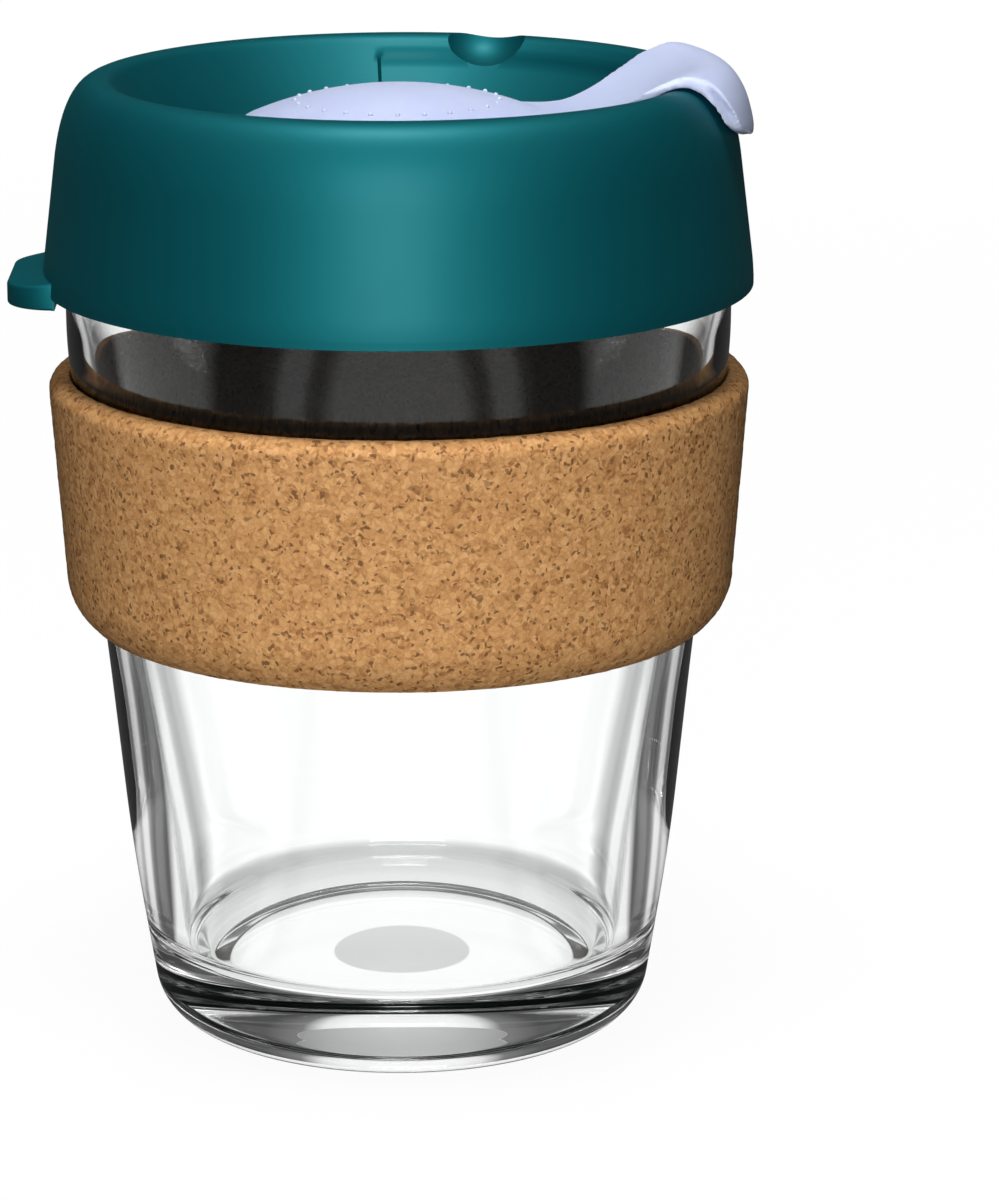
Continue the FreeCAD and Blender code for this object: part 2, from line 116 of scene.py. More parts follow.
def denser(path, longest):
    dense = [path[0]]
    for here, there in zip(path, path[1:]):
        pieces = max(1, math.ceil((there - here).length / longest))
        for step in range(1, pieces + 1):
            dense.append(here.lerp(there, step / pieces))
    return dense


# Draws a path one point at a time and spins it round the cup's axis.
def lathe(name, path, steps, sweep=math.tau, start=0.0):
    deselectAll()
    points = [Vector((p.x * math.cos(start), p.x * math.sin(start), p.y)) * mm for p in path]
    bpy.ops.mesh.primitive_plane_add(size=mm, location=points[0])
    piece = bpy.context.object
    piece.name = name
    piece.data.name = name
    bpy.ops.object.transform_apply(location=True, rotation=True, scale=True)
    bpy.ops.object.mode_set(mode="EDIT")
    bpy.ops.mesh.select_mode(type="VERT")
    bpy.ops.mesh.select_all(action="SELECT")
    bpy.ops.mesh.merge(type="CENTER")
    for here, there in zip(points, points[1:]):
        bpy.ops.mesh.extrude_region_move(TRANSFORM_OT_translate={"value": there - here})
    bpy.ops.mesh.select_all(action="SELECT")
    whole = abs(sweep - math.tau) < 1e-6
    bpy.ops.mesh.spin(steps=steps, angle=-sweep, center=(0, 0, 0), axis=(0, 0, 1),
                      use_auto_merge=whole)
    bpy.ops.mesh.select_all(action="SELECT")
    bpy.ops.mesh.remove_doubles(threshold=0.00001)
    if not whole:
        bpy.ops.mesh.select_all(action="DESELECT")
        bpy.ops.mesh.select_non_manifold()
        bpy.ops.mesh.edge_face_add()
        bpy.ops.mesh.select_all(action="SELECT")
    bpy.ops.mesh.normals_make_consistent(inside=False)
    bpy.ops.object.mode_set(mode="OBJECT")
    return piece


def smoothShade(piece, degrees=40):
    makeActive(piece)
    bpy.ops.object.shade_smooth_by_angle(angle=math.radians(degrees))


def cutAway(piece, cutter, operation="DIFFERENCE"):
    applyModifier(piece, "BOOLEAN", operation=operation, solver="EXACT", object=cutter)
    removePiece(cutter)


def finishPiece(piece, material, slot, body, *nodes):
    piece.data.materials.clear()
    piece.data.materials.append(material)
    if body:
        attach(piece, body)
    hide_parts(*nodes)


def newMaterial(name):
    material = bpy.data.materials.new(name)
    material.use_nodes = True
    nodes = material.node_tree.nodes
    return material, nodes, material.node_tree.links, nodes["Principled BSDF"]


def addNode(nodes, kind, settings=None, values=None):
    node = nodes.new(kind)
    for key, value in (settings or {}).items():
        setattr(node, key, value)
    for key, value in (values or {}).items():
        node.inputs[key].default_value = value
    return node


# A maths node whose two values are numbers or other nodes' outputs.
def mathNode(nodes, links, operation, first, second=None):
    node = addNode(nodes, "ShaderNodeMath", {"operation": operation})
    for socket, value in ((node.inputs[0], first), (node.inputs[1], second)):
        if isinstance(value, (int, float)):
            socket.default_value = value
        elif value is not None:
            links.new(value, socket)
    return node.outputs["Value"]


# One grain for every moulded finish: a height for bump and a cloudy mask for roughness.
def grainGroup():
    group = bpy.data.node_groups.new("surfaceGrain", "ShaderNodeTree")
    group.interface.new_socket("Fine Scale", in_out="INPUT", socket_type="NodeSocketFloat")
    group.interface.new_socket("Cloud Scale", in_out="INPUT", socket_type="NodeSocketFloat")
    group.interface.new_socket("Height", in_out="OUTPUT", socket_type="NodeSocketFloat")
    group.interface.new_socket("Cloud", in_out="OUTPUT", socket_type="NodeSocketFloat")
    nodes, links = group.nodes, group.links
    inside = nodes.new("NodeGroupInput")
    outside = nodes.new("NodeGroupOutput")
    place = nodes.new("ShaderNodeTexCoord")
    fine = addNode(nodes, "ShaderNodeTexNoise", values={"Detail": 4.0, "Roughness": 0.6})
    cloud = addNode(nodes, "ShaderNodeTexNoise", values={"Detail": 3.0, "Roughness": 0.5})
    for noise, scale in ((fine, "Fine Scale"), (cloud, "Cloud Scale")):
        links.new(place.outputs["Object"], noise.inputs["Vector"])
        links.new(inside.outputs[scale], noise.inputs["Scale"])
    links.new(fine.outputs["Fac"], outside.inputs["Height"])
    links.new(cloud.outputs["Fac"], outside.inputs["Cloud"])
    return group


surfaceGrain = grainGroup()


def placeGrain(nodes, fineScale, cloudScale):
    node = nodes.new("ShaderNodeGroup")
    node.node_tree = surfaceGrain
    node.inputs["Fine Scale"].default_value = fineScale
    node.inputs["Cloud Scale"].default_value = cloudScale
    return node


def bumpFrom(nodes, links, height, strength, distance):
    bump = addNode(nodes, "ShaderNodeBump", values={"Strength": strength, "Distance": distance})
    links.new(height, bump.inputs["Height"])
    return bump


lidFinish = {
    "teal": (0.0004, 0.034, 0.044, 1),
    "sheenTint": (0.05, 0.90, 1.0, 1),
    "roughLow": 0.54,
    "roughHigh": 0.64,
    "fineScale": 5200.0, "cloudScale": 60.0,
    "bump": 0.12, "bumpDepth": 0.03 * mm,
    "specularLevel": 1.0, "ior": 1.63,
    "coat": 0.08, "coatRough": 0.35,
}


def lidMaterial():
    material, nodes, links, surface = newMaterial("satinTealPlastic")
    grain = placeGrain(nodes, lidFinish["fineScale"], lidFinish["cloudScale"])
    rough = addNode(nodes, "ShaderNodeMapRange", values={
        "To Min": lidFinish["roughLow"], "To Max": lidFinish["roughHigh"]})
    links.new(grain.outputs["Cloud"], rough.inputs["Value"])
    links.new(rough.outputs["Result"], surface.inputs["Roughness"])
    bump = bumpFrom(nodes, links, grain.outputs["Height"], lidFinish["bump"], lidFinish["bumpDepth"])
    links.new(bump.outputs["Normal"], surface.inputs["Normal"])
    surface.inputs["Base Color"].default_value = lidFinish["teal"]
    surface.inputs["Specular IOR Level"].default_value = lidFinish["specularLevel"]
    surface.inputs["Specular Tint"].default_value = lidFinish["sheenTint"]
    surface.inputs["IOR"].default_value = lidFinish["ior"]
    surface.inputs["Coat Weight"].default_value = lidFinish["coat"]
    surface.inputs["Coat Roughness"].default_value = lidFinish["coatRough"]
    return material


plugFinish = {
    "lavender": (0.53, 0.59, 0.86, 1),
    "pale": (0.62, 0.69, 0.92, 1),
    "roughLow": 0.30,
    "roughHigh": 0.42,
    "fineScale": 3600.0, "cloudScale": 90.0,
    "bump": 0.1, "bumpDepth": 0.03 * mm,
    "glowThrough": 0.35, "glowReach": (1.0, 1.0, 1.4), "glowDepth": 1.5 * mm,
}


def plugMaterial():
    material, nodes, links, surface = newMaterial("softLavenderPlug")
    grain = placeGrain(nodes, plugFinish["fineScale"], plugFinish["cloudScale"])
    tint = addNode(nodes, "ShaderNodeMix", {"data_type": "RGBA"})
    tint.inputs["A"].default_value = plugFinish["lavender"]
    tint.inputs["B"].default_value = plugFinish["pale"]
    links.new(grain.outputs["Cloud"], tint.inputs["Factor"])
    links.new(tint.outputs["Result"], surface.inputs["Base Color"])
    rough = addNode(nodes, "ShaderNodeMapRange", values={
        "To Min": plugFinish["roughLow"], "To Max": plugFinish["roughHigh"]})
    links.new(grain.outputs["Cloud"], rough.inputs["Value"])
    links.new(rough.outputs["Result"], surface.inputs["Roughness"])
    bump = bumpFrom(nodes, links, grain.outputs["Height"], plugFinish["bump"], plugFinish["bumpDepth"])
    links.new(bump.outputs["Normal"], surface.inputs["Normal"])
    surface.inputs["Subsurface Weight"].default_value = plugFinish["glowThrough"]
    surface.inputs["Subsurface Radius"].default_value = plugFinish["glowReach"]
    surface.inputs["Subsurface Scale"].default_value = plugFinish["glowDepth"]
    return material


corkFinish = {
    "light": (0.78, 0.44, 0.185, 1),
    "middle": (0.60, 0.30, 0.105, 1),
    "dark": (0.33, 0.14, 0.045, 1),
    "speck": (0.12, 0.047, 0.016, 1),
    "granule": 1250.0, "crumb": 2500.0, "dust": 1400.0,
    "wander": 700.0, "wanderShare": 0.0012,
    "crumbShare": 0.4, "dustShare": 0.35,
    "darkAt": 0.18, "middleAt": 0.42, "lightAt": 0.85,
    "speckFrom": 0.90, "speckFull": 0.96, "speckShare": 0.8,
    "seamWidth": 0.12, "seamShare": 0.3,
    "bump": 0.45, "bumpDepth": 0.18 * mm,
    "rough": 0.72, "specularLevel": 0.3,
}


def corkMaterial():
    cork = corkFinish
    material, nodes, links, surface = newMaterial("agglomeratedCork")
    place = nodes.new("ShaderNodeTexCoord")
    wander = addNode(nodes, "ShaderNodeTexNoise", values={"Scale": cork["wander"], "Detail": 2.0})
    links.new(place.outputs["Object"], wander.inputs["Vector"])
    bent = addNode(nodes, "ShaderNodeMix", {"data_type": "VECTOR"},
                   {"Factor": cork["wanderShare"]})
    links.new(place.outputs["Object"], bent.inputs["A"])
    links.new(wander.outputs["Color"], bent.inputs["B"])
    granules = addNode(nodes, "ShaderNodeTexVoronoi", {"feature": "F1"},
                       {"Scale": cork["granule"], "Randomness": 1.0})
    edges = addNode(nodes, "ShaderNodeTexVoronoi", {"feature": "DISTANCE_TO_EDGE"},
                    {"Scale": cork["granule"], "Randomness": 1.0})
    crumbs = addNode(nodes, "ShaderNodeTexVoronoi", {"feature": "F1"},
                     {"Scale": cork["crumb"], "Randomness": 1.0})
    fine = addNode(nodes, "ShaderNodeTexNoise",
                   values={"Scale": cork["dust"], "Detail": 6.0, "Roughness": 0.7})
    for texture in (granules, edges, crumbs, fine):
        links.new(bent.outputs["Result"], texture.inputs["Vector"])
    shade = addNode(nodes, "ShaderNodeSeparateColor")
    links.new(granules.outputs["Color"], shade.inputs["Color"])
    crumbShade = addNode(nodes, "ShaderNodeSeparateColor")
    links.new(crumbs.outputs["Color"], crumbShade.inputs["Color"])
    blend = addNode(nodes, "ShaderNodeMix", {"data_type": "FLOAT"}, {"Factor": cork["crumbShare"]})
    links.new(shade.outputs["Red"], blend.inputs["A"])
    links.new(crumbShade.outputs["Green"], blend.inputs["B"])
    mixed = addNode(nodes, "ShaderNodeMix", {"data_type": "FLOAT"}, {"Factor": cork["dustShare"]})
    links.new(blend.outputs["Result"], mixed.inputs["A"])
    links.new(fine.outputs["Fac"], mixed.inputs["B"])
    tones = nodes.new("ShaderNodeValToRGB")
    ramp = tones.color_ramp
    ramp.elements[0].position = cork["darkAt"]
    ramp.elements[0].color = cork["dark"]
    ramp.elements[1].position = cork["lightAt"]
    ramp.elements[1].color = cork["light"]
    ramp.elements.new(cork["middleAt"]).color = cork["middle"]
    links.new(mixed.outputs["Result"], tones.inputs["Fac"])
    # dark specks of bark, one granule in several
    speckMask = addNode(nodes, "ShaderNodeMapRange", values={
        "From Min": cork["speckFrom"], "From Max": cork["speckFull"],
        "To Min": 0.0, "To Max": cork["speckShare"]})
    links.new(crumbShade.outputs["Red"], speckMask.inputs["Value"])
    specks = addNode(nodes, "ShaderNodeMix", {"data_type": "RGBA"})
    specks.inputs["B"].default_value = cork["speck"]
    links.new(speckMask.outputs["Result"], specks.inputs["Factor"])
    links.new(tones.outputs["Color"], specks.inputs["A"])
    # darker binder between granules
    seam = addNode(nodes, "ShaderNodeMapRange", values={
        "From Min": 0.0, "From Max": cork["seamWidth"],
        "To Min": cork["seamShare"], "To Max": 0.0})
    links.new(edges.outputs["Distance"], seam.inputs["Value"])
    seams = addNode(nodes, "ShaderNodeMix", {"data_type": "RGBA"})
    seams.inputs["B"].default_value = cork["dark"]
    links.new(seam.outputs["Result"], seams.inputs["Factor"])
    links.new(specks.outputs["Result"], seams.inputs["A"])
    links.new(seams.outputs["Result"], surface.inputs["Base Color"])
    height = mathNode(nodes, links, "SUBTRACT", mixed.outputs["Result"], speckMask.outputs["Result"])
    bump = bumpFrom(nodes, links, height, cork["bump"], cork["bumpDepth"])
    links.new(bump.outputs["Normal"], surface.inputs["Normal"])
    surface.inputs["Roughness"].default_value = cork["rough"]
    surface.inputs["Specular IOR Level"].default_value = cork["specularLevel"]
    return material


glassFinish = {
    "tint": (0.985, 0.995, 0.99, 1), "ior": 1.5,
    "markRadius": 8.5 * mm, "markEdge": 0.4 * mm,
    "markHeight": 3.0 * mm,
    "markRough": 0.5,
    "markTint": (0.70, 0.70, 0.71, 1),
}


def glassMaterial():
    material, nodes, links, surface = newMaterial("clearTemperedGlass")
    surface.inputs["Base Color"].default_value = glassFinish["tint"]
    surface.inputs["Transmission Weight"].default_value = 1.0
    surface.inputs["IOR"].default_value = glassFinish["ior"]
    place = nodes.new("ShaderNodeTexCoord")
    parts = nodes.new("ShaderNodeSeparateXYZ")
    links.new(place.outputs["Object"], parts.inputs["Vector"])
    flat = nodes.new("ShaderNodeCombineXYZ")
    links.new(parts.outputs["X"], flat.inputs["X"])
    links.new(parts.outputs["Y"], flat.inputs["Y"])
    away = addNode(nodes, "ShaderNodeVectorMath", {"operation": "LENGTH"})
    links.new(flat.outputs["Vector"], away.inputs[0])
    # a plain frosted disc on the underside
    disc = addNode(nodes, "ShaderNodeMapRange", values={
        "From Min": glassFinish["markRadius"],
        "From Max": glassFinish["markRadius"] + glassFinish["markEdge"],
        "To Min": 1.0, "To Max": 0.0})
    links.new(away.outputs["Value"], disc.inputs["Value"])
    under = mathNode(nodes, links, "LESS_THAN", parts.outputs["Z"], glassFinish["markHeight"])
    mask = mathNode(nodes, links, "MULTIPLY", disc.outputs["Result"], under)
    tint = addNode(nodes, "ShaderNodeMix", {"data_type": "RGBA"})
    tint.inputs["A"].default_value = glassFinish["tint"]
    tint.inputs["B"].default_value = glassFinish["markTint"]
    links.new(mask, tint.inputs["Factor"])
    links.new(tint.outputs["Result"], surface.inputs["Base Color"])
    rough = mathNode(nodes, links, "MULTIPLY", mask, glassFinish["markRough"])
    links.new(rough, surface.inputs["Roughness"])
    return material


glassShape = {
    "footRadius": 30.8, "footRound": 6.5,
    "kickRadius": 24.8, "kickRun": 2.6, "kickDepth": 1.0,
    "bellyRadius": 34.4, "bellyHeight": 22.5,
    "waistRadius": 36.85, "waistHeight": 47.0,
    "neckRadius": 41.35, "neckHeight": 87.5,
    "wall": 2.0, "rimRound": 0.95,
    "innerNeckHeight": 91.0,
    "floorHeight": 10.5, "floorRadius": 27.75, "floorRound": 3.5,
    "steps": 192,
}


def makeGlass(material):
    shape = glassShape
    inner = rimRadius - shape["wall"]
    path = roundedPath([
        (0, shape["kickDepth"], 0),
        (shape["kickRadius"] - shape["kickRun"], shape["kickDepth"], 1.5),
        (shape["kickRadius"], 0, 0.8),
        (shape["footRadius"], 0, shape["footRound"]),
        (shape["bellyRadius"], shape["bellyHeight"], 260),
        (shape["waistRadius"], shape["waistHeight"], 600),
        (shape["neckRadius"], shape["neckHeight"], 60),
        (rimRadius, glassTop, shape["rimRound"]),
        (inner, glassTop, shape["rimRound"]),
        (inner, shape["innerNeckHeight"], 60),
        (shape["floorRadius"], shape["floorHeight"], shape["floorRound"]),
        (0, shape["floorHeight"], 0),
    ])
    glass = lathe("glassCup", denser(path, 3.0), shape["steps"])
    smoothShade(glass, 60)
    finishPiece(glass, material, "glass", "cup", "glass_cup")
    return glass


bandShape = {
    "gap": 0.12, "topThickness": 2.75, "topRound": 1.9,
    "lip": 1.3, "footReach": 2.8, "footRise": 2.04, "footRound": 7.3,
    "steps": 260, "cell": 0.95,
    "reliefDepth": 0.12, "reliefSize": 1.3, "reliefMiddle": 0.35,
}


# The taper that the band sits on.
def glassRadiusAt(height):
    low, high = glassShape["waistHeight"], glassShape["neckHeight"]
    share = (height - low) / (high - low)
    narrow, wide = glassShape["waistRadius"], glassShape["neckRadius"]
    return narrow + share * (wide - narrow)


def makeBand(material):
    shape = bandShape
    lowInner = glassRadiusAt(bandBottom) + shape["gap"]
    highInner = glassRadiusAt(bandTop) + shape["gap"]
    lip = lowInner + shape["lip"]
    path = roundedPath([
        (lowInner, bandBottom, 0),
        (lip, bandBottom, 0.5),
        (lip + shape["footReach"], bandBottom + shape["footRise"], shape["footRound"]),
        (highInner + shape["topThickness"], bandTop, shape["topRound"]),
        (highInner, bandTop, 0.3),
        (lowInner, bandBottom, 0),
    ])
    band = lathe("corkBand", denser(path, shape["cell"]), shape["steps"])
    applyModifier(band, "SUBSURF", subdivision_type="SIMPLE", levels=1, render_levels=1)
    relief = bpy.data.textures.new("corkRelief", "VORONOI")
    relief.noise_scale = shape["reliefSize"] * mm
    relief.distance_metric = "DISTANCE"
    applyModifier(band, "DISPLACE", texture=relief, texture_coords="LOCAL",
                  strength=-shape["reliefDepth"] * mm, mid_level=shape["reliefMiddle"])
    smoothShade(band, 60)
    finishPiece(band, material, "cork", "band", "cork_band")
    return band


lidShape = {
    "skirtInner": 41.7, "skirtDepth": 14.2, "skirtRound": 0.8, "widestHeight": 97.0,
    "shoulderRadius": 42.32, "shoulderHeight": 111.4, "shoulderLean": 0.14,
    "shoulderReach": 5.2, "crestRadius": 37.0, "crestReach": 2.9,
    "innerEdge": 35.6, "innerRound": 2.0,
    "bowlRadius": 29.0, "deckHeight": 112.0, "deckRound": 1.6,
    "boreRadius": 5.0, "deckUnder": 110.2, "coreHeight": 117.4, "slopeWall": 3.0,
    "sealOuter": 39.3, "sealInner": 37.9, "sealLow": 105.0, "seatHeight": 109.65,
    "trackDepth": 0.9, "trackTop": 118.9, "trackFade": 1.5,
    "trackStart": -24.0, "trackEnd": 93.6,
    "steps": 400, "cell": 1.1,
}


def bezier(start, pull, push, end, steps):
    points = []
    for step in range(steps + 1):
        s = step / steps
        points.append(start * (1 - s) ** 3 + pull * 3 * s * (1 - s) ** 2
                      + push * 3 * s * s * (1 - s) + end * s ** 3)
    return points


def bowlSlope():
    return (lidShape["innerEdge"] - lidShape["bowlRadius"]) / (lidCrest - lidShape["deckHeight"])


def lidPath():
    shape = lidShape
    slope = bowlSlope()
    skirtBottom = glassTop - shape["skirtDepth"]
    shoulder = Vector((shape["shoulderRadius"], shape["shoulderHeight"]))
    crest = Vector((shape["crestRadius"], lidCrest))
    outer = roundedPath([
        (shape["skirtInner"], skirtBottom, 0),
        (lidRadius, skirtBottom, shape["skirtRound"]),
        (lidRadius, shape["widestHeight"], 30),
        (shoulder.x, shoulder.y, 0),
    ])
    over = bezier(shoulder, shoulder + Vector((-shape["shoulderLean"], 1)) * shape["shoulderReach"],
                  crest + Vector((shape["crestReach"], 0)), crest, 18)
    trackIn = shape["bowlRadius"] + slope * (shape["trackTop"] - shape["deckHeight"])
    under = shape["bowlRadius"] + shape["slopeWall"]
    inner = roundedPath([
        (crest.x, crest.y, 0),
        (shape["innerEdge"], lidCrest, shape["innerRound"]),
        (trackIn, shape["trackTop"], 0),
        (trackIn - slope * shape["trackFade"], shape["trackTop"] - shape["trackFade"], 0),
        (shape["bowlRadius"], shape["deckHeight"], shape["deckRound"]),
        (shape["boreRadius"], shape["deckHeight"], 0.4),
        (shape["boreRadius"], shape["deckUnder"], 0.2),
        (under + slope * (shape["deckUnder"] - shape["deckHeight"]), shape["deckUnder"], 0.6),
        (under + slope * (shape["coreHeight"] - shape["deckHeight"]), shape["coreHeight"], 0.6),
        (shape["sealInner"], shape["coreHeight"], 0.6),
        (shape["sealInner"], shape["sealLow"], 0.5),
        (shape["sealOuter"], shape["sealLow"], 0.5),
        (shape["sealOuter"], shape["seatHeight"], 0),
        (shape["skirtInner"], shape["seatHeight"], 0),
        (shape["skirtInner"], skirtBottom, 0),
    ])
    return denser(outer[:-1] + over[:-1] + inner, shape["cell"])


# Pushes the bowl wall back where the plug's arm turns, up to the stop.
def sinkTrack(lid):
    shape = lidShape
    edge = math.radians(0.5)
    first, last = math.radians(shape["trackStart"]), math.radians(shape["trackEnd"])
    slope = bowlSlope()
    for vertex in lid.data.vertices:
        across = math.hypot(vertex.co.x, vertex.co.y) / mm
        up = vertex.co.z / mm
        wall = shape["bowlRadius"] + slope * (up - shape["deckHeight"])
        if not (shape["deckHeight"] + 0.3 < up < shape["trackTop"] and abs(across - wall) < 0.8):
            continue
        angle = math.atan2(vertex.co.y, vertex.co.x)
        if first - edge < angle < last + edge:
            fade = min(1.0, (shape["trackTop"] - up) / shape["trackFade"])
            depth = shape["trackDepth"] * fade * fade * (3 - 2 * fade)
            vertex.co.x *= 1 + depth / across
            vertex.co.y *= 1 + depth / across


tabShape = {
    "root": 42.0, "reach": 48.2, "halfWidth": 12.2, "corner": 6.2,
    "thickness": 2.75, "edge": 1.15, "rootLift": 0.7,
}


# Thumb tab: a rounded tongue whose top rises towards the skirt.
def makeTab():
    shape = tabShape
    reach, root = shape["reach"], shape["root"]
    deselectAll()
    bpy.ops.mesh.primitive_cube_add(
        size=mm, location=(-(reach + root) / 2 * mm, 0, (lidBottom + shape["thickness"] / 2) * mm),
        scale=(reach - root, 2 * shape["halfWidth"], shape["thickness"]))
    tab = bpy.context.object
    bpy.ops.object.transform_apply(location=True, rotation=True, scale=True)
    bpy.ops.object.mode_set(mode="EDIT")
    bpy.ops.mesh.select_mode(type="EDGE")
    bpy.ops.mesh.select_all(action="DESELECT")
    bpy.ops.object.mode_set(mode="OBJECT")
    for edge in tab.data.edges:
        ends = [tab.data.vertices[index].co for index in edge.vertices]
        edge.select = abs(ends[0].z - ends[1].z) > mm and ends[0].x < -(root + 1) * mm
    bpy.ops.object.mode_set(mode="EDIT")
    bpy.ops.mesh.bevel(offset=shape["corner"] * mm, segments=16)
    bpy.ops.object.mode_set(mode="OBJECT")
    applyModifier(tab, "BEVEL", width=shape["edge"] * mm, segments=6, limit_method="ANGLE",
                  angle_limit=math.radians(50))
    middle = (lidBottom + shape["thickness"] / 2) * mm
    for vertex in tab.data.vertices:
        if vertex.co.z > middle:
            inward = (vertex.co.x / mm + reach) / (reach - root)
            vertex.co.z += shape["rootLift"] * mm * inward ** 2
    return tab


scoopShape = {"angle": 70.75, "across": 33.9, "height": 121.9,
              "radial": 5.4, "sideways": 5.6, "deep": 4.9}
sipShape = {"across": 31.75, "halfLength": 4.7, "halfWidth": 1.15}


def makeScoopCutter():
    shape = scoopShape
    turn = math.radians(shape["angle"])
    deselectAll()
    bpy.ops.mesh.primitive_uv_sphere_add(
        segments=64, ring_count=32, radius=mm,
        location=(shape["across"] * mm * math.cos(turn), shape["across"] * mm * math.sin(turn),
                  shape["height"] * mm),
        rotation=(0, 0, turn), scale=(shape["radial"], shape["sideways"], shape["deep"]))
    cutter = bpy.context.object
    bpy.ops.object.transform_apply(location=True, rotation=True, scale=True)
    return cutter


def makeSipCutter():
    shape = sipShape
    deselectAll()
    bpy.ops.mesh.primitive_cube_add(
        size=2 * mm, location=(shape["across"] * mm, 0, lidShape["deckHeight"] * mm + 3 * mm),
        scale=(shape["halfWidth"], shape["halfLength"], 6))
    cutter = bpy.context.object
    bpy.ops.object.transform_apply(location=True, rotation=True, scale=True)
    bpy.ops.object.mode_set(mode="EDIT")
    bpy.ops.mesh.select_all(action="SELECT")
    bpy.ops.object.mode_set(mode="OBJECT")
    applyModifier(cutter, "BEVEL", width=1.1 * mm, segments=6, limit_method="ANGLE")
    return cutter


def makeLid(material):
    lid = lathe("lidMoulding", lidPath(), lidShape["steps"])
    sinkTrack(lid)
    cutAway(lid, makeTab(), "UNION")
    cutAway(lid, makeScoopCutter())
    cutAway(lid, makeSipCutter())
    smoothShade(lid, 35)
    finishPiece(lid, material, "lid_plastic", "lid", "lid")
    return lid


plugShape = {
    "discRadius": 19.4, "discUnder": 112.15, "discEdge": 115.2, "discDome": 119.3,
    "bossRadius": 4.95, "headRadius": 6.5, "headTop": 109.9,
    "domeSteps": 24, "discSteps": 160,
    "voxel": 0.3, "smoothing": 0.6, "smoothRounds": 8,
}
armShape = {
    "halfAngle": 34.0, "steps": 56,
    "waistRadius": 20.5, "waistHalf": 9.8, "rimHalf": 15.3, "widening": 14.0,
    "tipFrom": 40, "tipLow": 113.6, "tipRound": 4.4,
    "over": ((14.5, 116.0), (20.5, 115.8), (24.5, 116.3), (28.1, 117.6), (31.5, 119.5),
             (34.4, 121.25), (37.3, 122.45), (39.8, 122.1), (41.5, 120.9), (42.8, 118.8),
             (43.5, 116.6), (43.85, 114.8), (43.75, 113.9)),
    "under": ((43.1, 113.55), (42.5, 113.8), (42.3, 115.0), (41.5, 117.6), (40.3, 119.6),
              (38.6, 120.85), (37.0, 121.05), (34.9, 120.3), (31.5, 117.8), (28.1, 115.5),
              (24.0, 113.7), (20.5, 113.3), (14.5, 113.2)),
}


# The radius of the ball that the disc's dome is cut from.
def domeCurve():
    radius, dome = plugShape["discRadius"], plugShape["discDome"] - plugShape["discEdge"]
    return (radius ** 2 + dome ** 2) / (2 * dome)


def makeDisc():
    shape = plugShape
    radius, curve, count = shape["discRadius"], domeCurve(), shape["domeSteps"]
    start = math.asin(radius / curve)
    top = []
    for step in range(count + 1):
        angle = start * (1 - step / count)
        top.append(Vector((curve * math.sin(angle),
                           shape["discDome"] - curve + curve * math.cos(angle))))
    path = roundedPath([
        (0, discBottom, 0),
        (shape["headRadius"] - 1.5, discBottom, 0.4),
        (shape["headRadius"], shape["headTop"], 0.3),
        (shape["bossRadius"], shape["headTop"], 0),
        (shape["bossRadius"], shape["discUnder"], 0),
        (radius - 0.3, shape["discUnder"], 0.4),
        (radius, shape["discEdge"], 0),
    ])
    return lathe("plugDisc", denser(path[:-1] + top, 1.0), shape["discSteps"])


# How wide the arm is, either side of its middle, at a radius and a height.
def armHalfWidth(across, up):
    shape = armShape
    share = min(1.0, max(0.0, (across - shape["waistRadius"]) / shape["widening"]))
    share = share * share * (3 - 2 * share)
    half = shape["waistHalf"] + (shape["rimHalf"] - shape["waistHalf"]) * share
    if across > shape["tipFrom"] and up < shape["tipLow"] + shape["tipRound"]:
        drop = (shape["tipLow"] + shape["tipRound"] - up) / shape["tipRound"]
        half *= math.sqrt(max(0.02, 1 - drop ** 2 * 0.98))
    return half


def makeArm():
    shape = armShape
    path = smoothCurve([Vector(point) for point in shape["over"] + shape["under"]])
    path.append(path[0])
    half = math.radians(shape["halfAngle"])
    arm = lathe("plugArm", path, shape["steps"], sweep=2 * half, start=-half)
    for vertex in arm.data.vertices:
        across = math.hypot(vertex.co.x, vertex.co.y) / mm
        share = math.atan2(vertex.co.y, vertex.co.x) / half
        sideways = armHalfWidth(across, vertex.co.z / mm) * share
        vertex.co.y = sideways * mm
        vertex.co.x = math.sqrt(across ** 2 - sideways ** 2) * mm
    return arm


# A smooth curve that passes through every point.
def smoothCurve(points, steps=4):
    rows = [points[0]] + points + [points[-1]]
    curve = []
    for a, b, c, d in zip(rows, rows[1:], rows[2:], rows[3:]):
        for step in range(steps):
            s = step / steps
            curve.append(0.5 * (2 * b + (c - a) * s + (2 * a - 5 * b + 4 * c - d) * s * s
                                + (3 * b - a - 3 * c + d) * s ** 3))
    curve.append(points[-1])
    return curve


dotShape = {"count": 24, "ring": 12.6, "size": 0.3}


# A ring of plain raised dots on the dome.
def addDots(plug):
    curve = domeCurve()
    height = plugShape["discDome"] - curve + math.sqrt(curve ** 2 - dotShape["ring"] ** 2)
    dots = []
    for index in range(dotShape["count"]):
        turn = math.tau * index / dotShape["count"]
        deselectAll()
        bpy.ops.mesh.primitive_uv_sphere_add(
            segments=12, ring_count=8, radius=dotShape["size"] * mm,
            location=(dotShape["ring"] * math.cos(turn) * mm,
                      dotShape["ring"] * math.sin(turn) * mm, height * mm))
        dots.append(bpy.context.object)
    makeActive(plug)
    for dot in dots:
        dot.select_set(True)
    bpy.ops.object.join()


sealShape = {
    "inner": 29.9, "outer": 33.3, "halfAngle": 11.0, "steps": 24,
    "gap": 0.9, "topIn": 117.6, "topOut": 120.0, "footRound": 0.5, "cell": 0.8,
}


